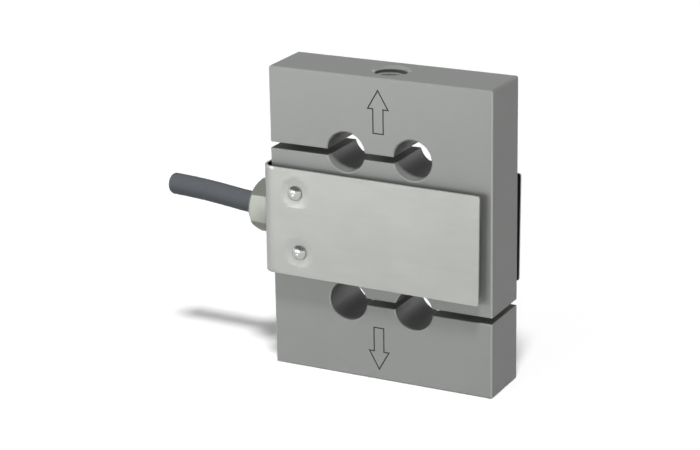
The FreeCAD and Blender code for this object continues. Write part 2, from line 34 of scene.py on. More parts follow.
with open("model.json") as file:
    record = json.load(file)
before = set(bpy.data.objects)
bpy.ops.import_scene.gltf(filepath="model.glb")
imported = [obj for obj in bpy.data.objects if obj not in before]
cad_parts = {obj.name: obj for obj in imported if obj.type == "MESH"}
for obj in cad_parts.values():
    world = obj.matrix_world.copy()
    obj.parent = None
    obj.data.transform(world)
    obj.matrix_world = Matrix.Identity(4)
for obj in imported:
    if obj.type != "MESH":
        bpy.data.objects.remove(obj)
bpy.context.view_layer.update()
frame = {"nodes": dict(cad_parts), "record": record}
mm = 0.001
hair = 0.001 * mm             # lengths below this count as nothing
print("frame loaded:", len(frame["nodes"]), "nodes")


# Meshes

def block(low, high):
    bm = bmesh.new()
    low, high = Vector(low), Vector(high)
    place = Matrix.Translation((low + high) / 2) @ Matrix.Diagonal((*(high - low), 1))
    bmesh.ops.create_cube(bm, size=1, matrix=place)
    return bm


def spun(profile, steps=64, closed=False):
    # Turns (radius, height) points about Z; a closed profile makes a ring
    bm = bmesh.new()
    points = [bm.verts.new((radius, 0, height)) for radius, height in profile]
    ends = points[1:] + points[:1] if closed else points[1:]
    edges = [bm.edges.new(pair) for pair in zip(points, ends)]
    bmesh.ops.spin(bm, geom=points + edges, cent=(0, 0, 0), axis=(0, 0, 1),
                   angle=math.tau, steps=steps, use_merge=True)
    bmesh.ops.remove_doubles(bm, verts=bm.verts, dist=0.5 * hair)
    bmesh.ops.recalc_face_normals(bm, faces=bm.faces)
    return bm


def cylinder(radius, low, high, steps=64):
    return spun([(0, low), (radius, low), (radius, high), (0, high)], steps)


def moved(bm, matrix):
    bmesh.ops.transform(bm, matrix=matrix, verts=bm.verts)
    return bm


def pointing(axis, at):
    # Puts a mesh that was made along Z at a point, along another direction
    return Matrix.Translation(at) @ Vector(axis).to_track_quat("Z", "Y").to_matrix().to_4x4()


def softened(bm, edges, width, segments=2):
    bmesh.ops.bevel(bm, geom=edges, offset=width, offset_type="OFFSET", affect="EDGES",
                    segments=segments, profile=0.5, material=-1, clamp_overlap=True)
    return bm


def newPiece(name, bm, finish):
    mesh = bpy.data.meshes.new(name)
    bm.to_mesh(mesh)
    bm.free()
    mesh.materials.append(finish)
    piece = bpy.data.objects.new(name, mesh)
    bpy.context.scene.collection.objects.link(piece)
    return piece


def combined(piece, tools):
    # Cuts, joins or trims a piece with (operation, mesh, finish) tools, all in one pass
    helpers = []
    for step, (operation, bm, finish) in enumerate(tools):
        helper = newPiece(f"{piece.name}_tool_{step}", bm, finish or piece.data.materials[0])
        change = piece.modifiers.new(f"tool_{step}", "BOOLEAN")
        change.operation = operation
        change.solver = "EXACT"
        change.material_mode = "TRANSFER"
        change.object = helper
        helpers.append(helper)
    result = bpy.data.meshes.new_from_object(piece.evaluated_get(bpy.context.evaluated_depsgraph_get()))
    piece.modifiers.clear()
    piece.data = result
    for helper in helpers:
        bpy.data.objects.remove(helper)
    return piece


def smoothed(piece, sharpAngle=32, flatAxes=False):
    # Rounds the shading of curved faces; flat faces that look along an axis stay flat
    piece.data.shade_smooth()
    piece.data.set_sharp_from_angle(angle=math.radians(sharpAngle))
    if flatAxes:
        for face in piece.data.polygons:
            face.use_smooth = max(abs(part) for part in face.normal) < 0.9999
    return piece


def dressed(piece, slotName, *nodes):
    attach(piece, "root")
    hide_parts(*nodes)
    return piece


# Finishes

class Number:
    # A number that changes over a surface: an expression on it adds Math nodes
    def __init__(self, finish, socket):
        self.finish = finish
        self.socket = socket

    def maths(self, operation, first, second=0.0, clamp=False):
        settings = {"operation": operation, "use_clamp": clamp}
        return Number(self.finish, self.finish.node("ShaderNodeMath", settings,
                                                    {0: first, 1: second}).outputs[0])

    def __add__(self, other):
        return self.maths("ADD", self, other)

    def __sub__(self, other):
        return self.maths("SUBTRACT", self, other)

    def __mul__(self, other):
        return self.maths("MULTIPLY", self, other)

    def above(self, level, softness):
        # 0 below the level and 1 above it, with a soft step
        return self.maths("MULTIPLY_ADD", self - level, 1 / softness, clamp=True)


class Finish:
    # A material whose fixed values sit on the shader's own sockets
    def __init__(self, name, fixed):
        self.material = bpy.data.materials.new(name)
        self.material.use_nodes = True
        self.tree = self.material.node_tree
        self.shader = self.tree.nodes["Principled BSDF"]
        self.place = self.node("ShaderNodeTexCoord").outputs["Object"]
        for socket, value in fixed.items():
            self.shader.inputs[socket].default_value = value

    def feed(self, socket, value):
        value = getattr(value, "socket", value)
        if isinstance(value, bpy.types.NodeSocket):
            self.tree.links.new(value, socket)
        else:
            socket.default_value = value

    def node(self, kind, settings=None, sockets=None):
        made = self.tree.nodes.new(kind)
        for name, value in (settings or {}).items():
            setattr(made, name, value)
        for name, value in (sockets or {}).items():
            self.feed(made.inputs[name], value)
        return made

    def noise(self, scale, detail=2.0, stretch=(1, 1, 1)):
        at = self.node("ShaderNodeMapping", None, {"Vector": self.place, "Scale": stretch}).outputs[0]
        made = self.node("ShaderNodeTexNoise", None, {"Vector": at, "Scale": scale, "Detail": detail})
        return Number(self, made.outputs[0])

    def colours(self, factor, first, second):
        # Two colours mixed by a number
        made = self.node("ShaderNodeMix", {"data_type": "RGBA"}, {0: factor, 6: first, 7: second})
        return made.outputs[2]

    def relief(self, height, strength, depth):
        made = self.node("ShaderNodeBump", None, {"Height": height, "Strength": strength,
                                                  "Distance": depth})
        self.feed(self.shader.inputs["Normal"], made.outputs[0])

    def set(self, socket, value):
        self.feed(self.shader.inputs[socket], value)


def shade(red, green, blue):
    # A colour given as on screen, 0 to 255, turned to the linear values that shaders use
    return tuple(((part / 255 + 0.055) / 1.055) ** 2.4 for part in (red, green, blue)) + (1.0,)


def metal(name, light, dark, metallic, roughness, grain, relief):
    # Metal with broad cloudy patches, a fine grain that may run one way, and uneven gloss
    finish = Finish(name, {"Metallic": metallic})
    clouds = finish.noise(90, 3)
    fine = finish.noise(grain["scale"], 3, grain["stretch"])
    finish.set("Base Color", finish.colours(clouds * 0.6 + fine * 0.4, dark, light))
    finish.set("Roughness", (fine - 0.5) * grain["gloss"] + (clouds - 0.5) * 0.08 + roughness)
    finish.relief(fine + clouds * 0.5, relief, 0.02 * mm)
    return finish.material


def plastic(name, light, dark, roughness, scale=700, relief=0.15):
    # A moulded or cast surface: faint mottling and a fine skin
    finish = Finish(name, {})
    mottle = finish.noise(scale, 4)
    finish.set("Base Color", finish.colours(mottle, dark, light))
    finish.set("Roughness", (mottle - 0.5) * 0.15 + roughness)
    finish.relief(mottle, relief, 0.03 * mm)
    return finish.material


def printedFoil(name):
    # Gauge backing: amber film with the pale lines of the measuring grid
    finish = Finish(name, {"Roughness": 0.35})
    lines = finish.node("ShaderNodeTexWave", {"bands_direction": "Y"},
                        {"Vector": finish.place, "Scale": 900, "Distortion": 0.0})
    grid = Number(finish, lines.outputs[1]).above(0.5, 0.1)
    finish.set("Base Color", finish.colours(grid, shade(168, 96, 32), shade(196, 190, 178)))
    finish.set("Metallic", grid * 0.7)
    return finish.material


finishes = {
    "beam_steel": metal("beamSteel", shade(163, 165, 163), shade(152, 154, 152), 0.3, 0.45,
                        {"scale": 1600, "stretch": (0.35, 1, 1), "gloss": 0.12}, 0.12),
    # Lighter steel: a painted highlight on the chamfers, and painted light on the shaded walls of the
    # tapped holes
    "beam_edge": metal("beamPaintedHighlight", shade(206, 208, 205), shade(192, 194, 191), 0.45, 0.36,
                       {"scale": 2400, "stretch": (1, 1, 1), "gloss": 0.1}, 0.06),
    # Darker steel for the slots' walls: painted shade inside the narrow slots
    "slot_painted_shade": metal("slotPaintedShade", shade(142, 143, 140), shade(126, 127, 124), 0.3, 0.55,
                        {"scale": 2000, "stretch": (1, 0.2, 1), "gloss": 0.1}, 0.2),
    "cover_sheet": metal("coverSheet", shade(203, 205, 201), shade(187, 189, 185), 0.5, 0.34,
                         {"scale": 1200, "stretch": (0.12, 1, 1), "gloss": 0.14}, 0.1),
    "bright_steel": metal("brightSteel", shade(226, 227, 225), shade(206, 207, 205), 0.9, 0.2,
                          {"scale": 2500, "stretch": (1, 1, 1), "gloss": 0.08}, 0.05),
    "plated_brass": metal("platedBrass", shade(164, 167, 158), shade(141, 144, 136), 0.4, 0.4,
                          {"scale": 1800, "stretch": (0.3, 1, 1), "gloss": 0.14}, 0.1),
    "seal_rubber": plastic("sealRubber", shade(44, 44, 45), shade(30, 30, 31), 0.6),
    "cable_sheath": plastic("cableSheath", shade(98, 101, 105), shade(88, 91, 95), 0.8, 900, 0.2),
    "core_red": plastic("coreRed", shade(182, 34, 28), shade(160, 26, 22), 0.4),
    "core_black": plastic("coreBlack", shade(36, 36, 38), shade(26, 26, 28), 0.4),
    "core_green": plastic("coreGreen", shade(36, 128, 62), shade(28, 108, 52), 0.4),
    "core_white": plastic("coreWhite", shade(228, 226, 220), shade(212, 210, 204), 0.4),
    "gauge_foil": printedFoil("gaugeFoil"),
    "board_laminate": plastic("boardLaminate", shade(44, 112, 66), shade(34, 92, 54), 0.4),
    "resistor_body": plastic("resistorBody", shade(52, 52, 56), shade(38, 38, 42), 0.35),
    "lead_sleeve": plastic("leadSleeve", shade(190, 128, 48), shade(168, 108, 36), 0.35),
    "potting_silicone": plastic("pottingSilicone", shade(206, 204, 198), shade(190, 188, 180), 0.3, 260),
    # Near-black inner faces of the cover: painted shade in the gap between the cover and the beam
    "cover_inner_painted_shade": plastic("coverInnerPaintedShade", shade(26, 26, 27), shade(16, 16, 17), 0.8, 1200),
    "engraving": plastic("engraving", shade(74, 72, 66), shade(54, 52, 48), 0.7, 2500),
}
print("finishes made:", len(finishes))


# Beam

beam = {
    "edge": 0.3,              # chamfered outer edges
    "edgeRound": 0.06,        # where a chamfer meets a face
    "edgeSlant": (0.3, 0.95),  # a chamfer's normal has a share along Y between these
    "holeDiameter": 8.5,
    "holeRim": 0.24,
    "holeSides": 96,
    "slotWidth": 1.4,
    "slotShift": 0.45,        # a slot's middle from its holes' centres, towards mid height
    "slotRim": 0.14,
    "past": 0.8,              # how far cuts run on past a face
    "windowHalf": 12.5,
    "windowHeight": 19.3,
    "windowCorner": 2.0,
    "cornerSteps": 8,
    "threadMinor": 6.8,
    "threadMajor": 8.0,
    "pitch": 1.25,
    "threadDepth": 13.0,      # of the drilled hole
    "threadLength": 11.5,
    "threadOverlap": 0.25,    # the thread's cut starts this far inside the drilled wall
    "threadCrest": (0.4375, 0.5625),    # shares of a pitch between which the groove is deepest
    "threadSteps": 48,        # in one turn
    "threadMouth": 0.6,
    "drillSlope": 31,         # degrees, of the drill point
    "shankBore": 8.0,
    "shankDepth": 6.0,
    "coreBore": 4.0,
    "rivetBore": 2.0,
    "rivetDepth": 4.0,
    "rivetSides": 30,
    "line": 0.26,             # engraved line's width
    "lineDepth": 0.15,
}

# Arrow outlines as (across, up): one half, mirrored about the arrow's own middle
upArrow = {"middle": -0.05, "foot": 53.25, "neck": 58.37, "tip": 62.64, "shaft": 1.27, "head": 2.5}
downArrow = {"middle": -0.5, "foot": 11.6, "neck": 6.38, "tip": 2.05, "shaft": 1.25, "head": 2.48}


def throughHole(across, up, halfDepth):
    # The rims flare on past the beam's faces, so that no edge of the cut lies in a face
    radius = beam["holeDiameter"] / 2 * mm
    flare = radius + beam["holeRim"] * mm + beam["past"] * mm
    straight = halfDepth - beam["holeRim"] * mm
    past = halfDepth + beam["past"] * mm
    profile = [(0, -past), (flare, -past), (radius, -straight), (radius, straight), (flare, past),
               (0, past)]
    return moved(spun(profile, beam["holeSides"]), pointing((0, 1, 0), (across, 0, up)))


def slotCut(left, right, up, halfDepth):
    half = beam["slotWidth"] / 2 * mm
    flare = (beam["slotRim"] + beam["past"]) * mm
    straight = halfDepth - beam["slotRim"] * mm
    bm = block((left, -straight, up - half), (right, straight, up + half))
    for side in (-1, 1):
        face = max(bm.faces, key=lambda one: one.normal.y * side)
        grown = bmesh.ops.extrude_discrete_faces(bm, faces=[face])["faces"]
        bmesh.ops.scale(bm, vec=(1, 1, (half + flare) / half), space=Matrix.Translation((0, 0, -up)),
                        verts=grown[0].verts[:])
        bmesh.ops.translate(bm, vec=(0, side * flare, 0), verts=grown[0].verts[:])
    bmesh.ops.recalc_face_normals(bm, faces=bm.faces)
    return bm


def windowCut(up, halfDepth):
    half = beam["windowHalf"] * mm
    rise = beam["windowHeight"] / 2 * mm
    bm = block((-half, -2 * halfDepth, up - rise), (half, 2 * halfDepth, up + rise))
    upright = [edge for edge in bm.edges if abs((edge.verts[0].co - edge.verts[1].co).y) > halfDepth]
    return softened(bm, upright, beam["windowCorner"] * mm, beam["cornerSteps"])


def threadCut():
    # A helical ridge of one pitch is swept up past the mouth, then trimmed flat and closed
    core = (beam["threadMinor"] / 2 - beam["threadOverlap"]) * mm
    crest = beam["threadMajor"] / 2 * mm
    pitch = beam["pitch"] * mm
    depth = beam["threadLength"] * mm
    spare = 2                 # turns that are swept below the last whole one, then cut off
    turns = math.ceil(depth / pitch) + spare + 1
    steps = beam["threadSteps"]
    low, high = beam["threadCrest"]
    bm = bmesh.new()
    outline = [(core, 0), (crest, low), (crest, high), (core, 1)]
    points = [bm.verts.new((radius, 0, (share - spare) * pitch - depth)) for radius, share in outline]
    edges = [bm.edges.new(pair) for pair in zip(points, points[1:])]
    bmesh.ops.spin(bm, geom=points + edges, cent=(0, 0, 0), axis=(0, 0, 1), dvec=(0, 0, pitch / steps),
                   angle=math.tau * turns, steps=steps * turns, use_merge=False)
    bmesh.ops.remove_doubles(bm, verts=bm.verts, dist=2 * hair)
    for level, side in ((-depth, -1), (beam["past"] * mm, 1)):
        geom = bm.verts[:] + bm.edges[:] + bm.faces[:]
        bmesh.ops.bisect_plane(bm, geom=geom, plane_co=(0, 0, level), plane_no=(0, 0, side),
                               clear_outer=True)
        rim = [edge for edge in bm.edges if edge.is_boundary
               and all(abs(corner.co.z - level) < hair for corner in edge.verts)]
        bmesh.ops.edgenet_fill(bm, edges=rim)
    bmesh.ops.recalc_face_normals(bm, faces=bm.faces)
    return bm


def drillCut():
    radius = beam["threadMinor"] / 2 * mm
    depth = beam["threadDepth"] * mm
    past = beam["past"] * mm
    point = radius * math.tan(math.radians(beam["drillSlope"]))
    return spun([(0, -depth - point), (radius, -depth), (radius, -beam["threadMouth"] * mm),
                 (radius + beam["threadMouth"] * mm + past, past), (0, past)])


def cableBore(wall):
    # Wide for the gland's shank, then narrow for the cores, through to the window
    wide, narrow = beam["shankBore"] / 2 * mm, beam["coreBore"] / 2 * mm
    step = beam["shankDepth"] * mm
    past = beam["past"] * mm
    return spun([(0, -past), (wide, -past), (wide, step), (narrow, step), (narrow, wall + past),
                 (0, wall + past)])


def arrowCut(arrow, face):
    foot, neck, tip = (arrow[key] * mm for key in ("foot", "neck", "tip"))
    shaft, head, middle = (arrow[key] * mm for key in ("shaft", "head", "middle"))
    bm = bmesh.new()
    half = [(0, tip), (head, neck), (shaft, neck), (shaft, foot)]
    outline = half + [(-across, up) for across, up in reversed(half[1:])]
    depth = beam["lineDepth"] * mm
    inner = bm.faces.new([bm.verts.new((middle + across, face + depth, up)) for across, up in outline])
    bm.normal_update()
    bmesh.ops.inset_region(bm, faces=[inner], thickness=beam["line"] * mm, use_boundary=True,
                           use_even_offset=True)
    bmesh.ops.delete(bm, geom=[inner], context="FACES")
    # The line's band grows outwards, well past the face
    grown = bmesh.ops.extrude_face_region(bm, geom=bm.faces[:], use_keep_orig=True)["geom"]
    bmesh.ops.translate(bm, vec=(0, -3 * depth, 0),
                        verts=[part for part in grown if isinstance(part, bmesh.types.BMVert)])
    bmesh.ops.recalc_face_normals(bm, faces=bm.faces)
    return bm


def makeBeam():
    low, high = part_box("beam")
    middle = (low + high) / 2
    halfDepth = (high.y - low.y) / 2
    bm = block(low, high)
    softened(bm, bm.edges[:], beam["edge"] * mm, 1)
    softened(bm, bm.edges[:], beam["edgeRound"] * mm, 2)
    piece = newPiece("beamBody", bm, finishes["beam_steel"])
    cuts, slots, threads = [], [], []
    for opening in frame["record"]["physics"]["openings"]:
        if opening["name"].endswith(("left", "right")):
            corners = [Vector(corner) for corner in opening["box_m"]]
            centre = (corners[0] + corners[1]) / 2
            cuts.append(throughHole(centre.x, centre.z, halfDepth))
            past = 2 * beam["edge"] * mm
            towards = math.copysign(beam["slotShift"] * mm, middle.z - centre.z)
            if centre.x > 0 and centre.z > middle.z:
                slots.append(slotCut(low.x - past, centre.x, centre.z + towards, halfDepth))
            if centre.x < 0 and centre.z < middle.z:
                slots.append(slotCut(centre.x, high.x + past, centre.z + towards, halfDepth))
    cuts.append(windowCut(middle.z, halfDepth))
    for face, up in ((high.z, (0, 0, 1)), (low.z, (0, 0, -1))):
        threads.append(moved(threadCut(), pointing(up, (0, 0, face))))
        threads.append(moved(drillCut(), pointing(up, (0, 0, face))))
    bore = cableBore(-low.x - beam["windowHalf"] * mm)
    cuts.append(moved(bore, pointing((1, 0, 0), (low.x, 0, middle.z))))
    for level in ("upper", "lower"):
        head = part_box(f"rivet_front_{level}")
        across, up = (head[0].x + head[1].x) / 2, (head[0].z + head[1].z) / 2
        for side in (-1, 1):
            place = pointing((0, -side, 0), (across, side * halfDepth, up))
            hole = cylinder(beam["rivetBore"] / 2 * mm, -mm, beam["rivetDepth"] * mm, beam["rivetSides"])
            cuts.append(moved(hole, place))
    # The slots' walls get the darker steel, as painted shade
    tools = [("DIFFERENCE", cut, finishes["slot_painted_shade"]) for cut in slots]
    tools += [("DIFFERENCE", cut, None) for cut in cuts]
    # The tapped holes get the lighter steel: painted light on their shaded walls and a painted highlight
    # on their mouths
    tools += [("DIFFERENCE", cut, finishes["beam_edge"]) for cut in threads]
    for arrow in (upArrow, downArrow):
        tools.append(("DIFFERENCE", arrowCut(arrow, low.y), finishes["engraving"]))
    combined(piece, tools)
    # The chamfers round the front and back faces, the holes' and slots' rims among them, get the lighter
    # steel: a painted highlight along the edges
    bright = piece.data.materials.find(finishes["beam_edge"].name)
    least, most = beam["edgeSlant"]
    for face in piece.data.polygons:
        if abs(face.center.y) > halfDepth - beam["edge"] * mm and least < abs(face.normal.y) < most:
            face.material_index = bright
    smoothed(piece, flatAxes=True)
    return dressed(piece, "beam_steel", "beam")


beamPiece = makeBeam()
print("beam:", len(beamPiece.data.polygons), "faces")


# Cover

cover = {
    "sheet": 0.5,
    "bend": 2.5,              # outside radius
    "corner": 0.5,
    "cornerSteps": 6,
    "height": 23.2,
    "rise": 0.25,             # its middle above the cable bore
    "tilt": 0.6,              # degrees
    "frontReach": 48.2,       # from the beam's left side
    "backReach": 49.6,
    "webGap": 1.15,           # the web's outer face from the beam's left side
    "spacing": 0.75,          # between the rows of faces that let the leaves dish
    "dishRadius": 3.3,
    "dishFlat": 1.9,
    "dishDepth": 0.12,
    "edge": 0.08,
    "rimAngle": 60,           # degrees: sharper edges than this are the sheet's cut rims
    "glandHole": 8.3,
    "rivetHole": 2.4,
}


def foldSheet(along, outerY):
    # Where a point of the flat blank lands: front leaf, bend, web, bend, back leaf
    bend = cover["bend"] * mm
    webX = -cover["webGap"] * mm
    front = cover["frontReach"] * mm - webX - bend
    web = 2 * (outerY - bend)
    turn = bend * math.pi / 2
    if along <= front:
        return webX + bend + front - along, -outerY, Vector((0, -1, 0))
    along -= front
    if along <= turn:
        angle = along / bend
        out = Vector((-math.sin(angle), -math.cos(angle), 0))
        return webX + bend + bend * out.x, -outerY + bend + bend * out.y, out
    along -= turn
    if along <= web:
        return webX, -outerY + bend + along, Vector((-1, 0, 0))
    along -= web
    if along <= turn:
        angle = along / bend
        out = Vector((-math.cos(angle), math.sin(angle), 0))
        return webX + bend + bend * out.x, outerY - bend + bend * out.y, out
    return webX + bend + along - turn, outerY, Vector((0, 1, 0))


def dish(across, up, rivets):
    # How far the leaf is pulled in round a rivet
    depth = 0
    for place in rivets:
        distance = (Vector((across, up)) - place).length
        share = (cover["dishRadius"] * mm - distance) / ((cover["dishRadius"] - cover["dishFlat"]) * mm)
        share = min(max(share, 0), 1)
        depth = max(depth, cover["dishDepth"] * mm * share * share * (3 - 2 * share))
    return depth


def makeCover():
    low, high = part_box("beam")
    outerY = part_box("cover")[1].y
    mouth = Vector((low.x, 0, (low.z + high.z) / 2))
    bend = cover["bend"] * mm
    flats = (cover["frontReach"] + cover["backReach"] + 2 * cover["webGap"]) * mm - 2 * bend
    length = flats + math.pi * bend + 2 * (outerY - bend)
    half = cover["height"] / 2 * mm
    bm = bmesh.new()
    bmesh.ops.create_grid(bm, x_segments=1, y_segments=1, size=0.5)
    moved(bm, Matrix.Translation((length / 2, 0, 0)) @ Matrix.Diagonal((length, 2 * half, 1, 1)))
    bmesh.ops.bevel(bm, geom=bm.verts[:], offset=cover["corner"] * mm, offset_type="OFFSET",
                    affect="VERTICES", segments=cover["cornerSteps"], profile=0.5, material=-1)
    for size, along in ((length, Vector((1, 0, 0))), (half, Vector((0, 1, 0)))):
        start = 0 if along.x else -half
        rows = round((size - start) / (cover["spacing"] * mm))
        for row in range(1, rows):
            at = along * (start + (size - start) * row / rows)
            bmesh.ops.bisect_plane(bm, geom=bm.verts[:] + bm.edges[:] + bm.faces[:], dist=0.1 * hair,
                                   plane_co=at, plane_no=along)
    rivets = [Vector(((box[0].x + box[1].x) / 2 - low.x, (box[0].z + box[1].z) / 2 - mouth.z))
              for box in (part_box("rivet_front_upper"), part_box("rivet_front_lower"))]
    for corner in bm.verts:
        up = corner.co.y + cover["rise"] * mm
        across, depth, out = foldSheet(corner.co.x, outerY)
        sunk = dish(across, up, rivets) if abs(out.y) == 1 else 0
        corner.co = Vector((across, depth, up)) - out * sunk
    bmesh.ops.recalc_face_normals(bm, faces=bm.faces)
    front = min(bm.faces, key=lambda face: face.calc_center_median().y)
    if front.normal.y > 0:
        bmesh.ops.reverse_faces(bm, faces=bm.faces)
    # The faces and corners that exist now are the outer skin; the inner one is painted near black, as
    # shade in the gap between the cover and the beam
    outside = set(bm.faces)
    outerCorners = set(bm.verts)
    bmesh.ops.solidify(bm, geom=bm.faces[:], thickness=cover["sheet"] * mm)
    for face in bm.faces:
        face.material_index = int(face not in outside and not outerCorners.intersection(face.verts))
    rims = [edge for edge in bm.edges if edge.calc_face_angle(0) > math.radians(cover["rimAngle"])]
    softened(bm, rims, cover["edge"] * mm, 2)
    moved(bm, Matrix.Translation(mouth) @ Matrix.Rotation(math.radians(cover["tilt"]), 4, "Y"))
    piece = newPiece("coverSheet", bm, finishes["cover_sheet"])
    piece.data.materials.append(finishes["cover_inner_painted_shade"])
    web = mouth - Vector((cover["webGap"] * mm, 0, 0))
    hole = cylinder(cover["glandHole"] / 2 * mm, -2 * mm, 2 * mm)
    tools = [("DIFFERENCE", moved(hole, pointing((-1, 0, 0), web)), None)]
    for place in rivets:
        at = Vector((low.x + place.x, 0, mouth.z + place.y))
        hole = cylinder(cover["rivetHole"] / 2 * mm, -2 * outerY, 2 * outerY, 32)
        tools.append(("DIFFERENCE", moved(hole, pointing((0, 1, 0), at)), None))
    combined(piece, tools)
    smoothed(piece, sharpAngle=40, flatAxes=True)
    return dressed(piece, "cover_sheet", "cover")


coverPiece = makeCover()
print("cover:", len(coverPiece.data.polygons), "faces")


# Rivets

rivet = {
    "shank": 2.0,
    "head": 3.2,
    "dome": 0.9,
    "rim": 0.15,
    "dimple": 0.42,           # radius of the small hollow in the crown
    "dimpleDepth": 0.1,
    "dimpleLip": 0.02,        # rise at the hollow's edge
    "dimpleBend": (0.6, 0.7),  # shares of its radius and depth where its wall turns to its floor
    "steps": 8,               # along the dome
}


def makeRivet(node):
    low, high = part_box(node)
    side = 1 if high.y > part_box("beam")[1].y + mm else -1
    dome, head = rivet["dome"] * mm, rivet["head"] / 2 * mm
    outer = max(abs(low.y), abs(high.y))
    seat = outer - dome
    foot = min(abs(low.y), abs(high.y)) - seat
    crown = dome - rivet["rim"] * mm
    ball = (head ** 2 + crown ** 2) / (2 * crown)
    spread = math.asin(head / ball)
    profile = [(0, foot), (rivet["shank"] / 2 * mm, foot), (rivet["shank"] / 2 * mm, 0), (head, 0)]
    for step in range(rivet["steps"]):
        angle = spread * (1 - step / rivet["steps"])
        profile.append((ball * math.sin(angle), dome - ball + ball * math.cos(angle)))
    dimple = rivet["dimple"] * mm
    share, sunk = rivet["dimpleBend"]
    depth = rivet["dimpleDepth"] * mm
    lip = profile[-1][1] + rivet["dimpleLip"] * mm
    profile += [(dimple, lip), (dimple * share, dome - depth * sunk), (0, dome - depth)]
    place = pointing((0, side, 0), ((low.x + high.x) / 2, side * seat, (low.z + high.z) / 2))
    piece = newPiece(node + "_dome", moved(spun(profile, 48), place), finishes["bright_steel"])
    return dressed(smoothed(piece, sharpAngle=45), "bright_steel", node)


for node in sorted(frame["nodes"]):
    if node.startswith("rivet_"):
        makeRivet(node)
print("rivets made")


# Gland

gland = {
    "flats": 10.0,
    "turn": 7.0,              # degrees about the cable, from a hexagon with upright flats
    "slope": 37.0,            # degrees
    "noseRadius": 3.675,
    "edge": 0.14,
    "shank": 8.0,
    "grip": 6.0,              # shank length inside the beam
    "bore": 4.9,
    "recess": 6.25,
    "recessDepth": 1.8,
    "sides": 96,              # of the coned nose
}


def makeGland():
    low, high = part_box("gland")
    mouth = Vector((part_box("beam")[0].x, (low.y + high.y) / 2, (low.z + high.z) / 2))
    seat = mouth.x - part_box("gland_washer")[0].x
    nose = mouth.x - low.x
    radius = gland["flats"] / 2 * mm / math.cos(math.radians(30))
    bm = bmesh.new()
    bmesh.ops.create_cone(bm, cap_ends=True, segments=6, radius1=radius, radius2=radius,
                          depth=nose - seat)
    moved(bm, Matrix.Translation((0, 0, (nose + seat) / 2)))
    upright = [edge for edge in bm.edges if abs((edge.verts[0].co - edge.verts[1].co).z) > mm]
    seatRim = [edge for edge in bm.edges if all(corner.co.z < seat + 0.1 * mm for corner in edge.verts)]
    softened(bm, upright + seatRim, gland["edge"] * mm, 2)
    moved(bm, Matrix.Rotation(math.radians(gland["turn"]), 4, "Z"))
    place = pointing((-1, 0, 0), mouth)
    noseRadius = gland["noseRadius"] * mm
    reach = radius + mm
    fall = (reach - noseRadius) * math.tan(math.radians(gland["slope"]))
    coneRing = spun([(noseRadius, nose + 0.1 * hair), (reach, nose - fall), (reach, nose + mm),
                     (noseRadius, nose + mm)], gland["sides"], closed=True)
    shank = cylinder(gland["shank"] / 2 * mm, -gland["grip"] * mm, seat + mm)
    bore = cylinder(gland["bore"] / 2 * mm, -gland["grip"] * mm - mm, nose + mm)
    recess = cylinder(gland["recess"] / 2 * mm, nose - gland["recessDepth"] * mm, nose + mm)
    piece = newPiece("glandBody", moved(bm, place), finishes["plated_brass"])
    steps = (("DIFFERENCE", coneRing), ("UNION", shank), ("DIFFERENCE", bore), ("DIFFERENCE", recess))
    combined(piece, [(operation, moved(tool, place), None) for operation, tool in steps])
    return dressed(smoothed(piece, sharpAngle=25), "plated_brass", "gland")


makeGland()
print("gland made")


# Cable

cable = {
    "diameter": 4.6,
    "sides": 40,
    "endRound": 0.9,          # radius of the sheath's edge at the cut end
    "endSteps": 6,
    "plainEnd": 1.05,         # full rings stop this many of those radii before the cut end
}

# The cable's route from its inner end to its cut end, from the cable bore's mouth
cableRoute = [(4.0, 0, 0), (-2.4, 0, 0), (-8.9, 0, 0.12), (-15.5, 0, 1.0), (-22.0, 0, 1.67),
              (-28.15, 0, 1.95)]


def smoothLine(name, points):
    # The points that a NURBS spline with these control points runs through
    curve = bpy.data.curves.new(name, "CURVE")
    curve.dimensions = "3D"
    curve.resolution_u = 12
    spline = curve.splines.new("NURBS")
    spline.points.add(len(points) - 1)
    for control, point in zip(spline.points, points):
        control.co = (*point, 1)
    spline.order_u = 3
    spline.use_endpoint_u = True
    holder = bpy.data.objects.new(name, curve)
    bpy.context.scene.collection.objects.link(holder)
    bpy.context.view_layer.update()
    mesh = bpy.data.meshes.new_from_object(holder.evaluated_get(bpy.context.evaluated_depsgraph_get()))
    line = [corner.co.copy() for corner in mesh.vertices]
    bpy.data.objects.remove(holder)
    return line


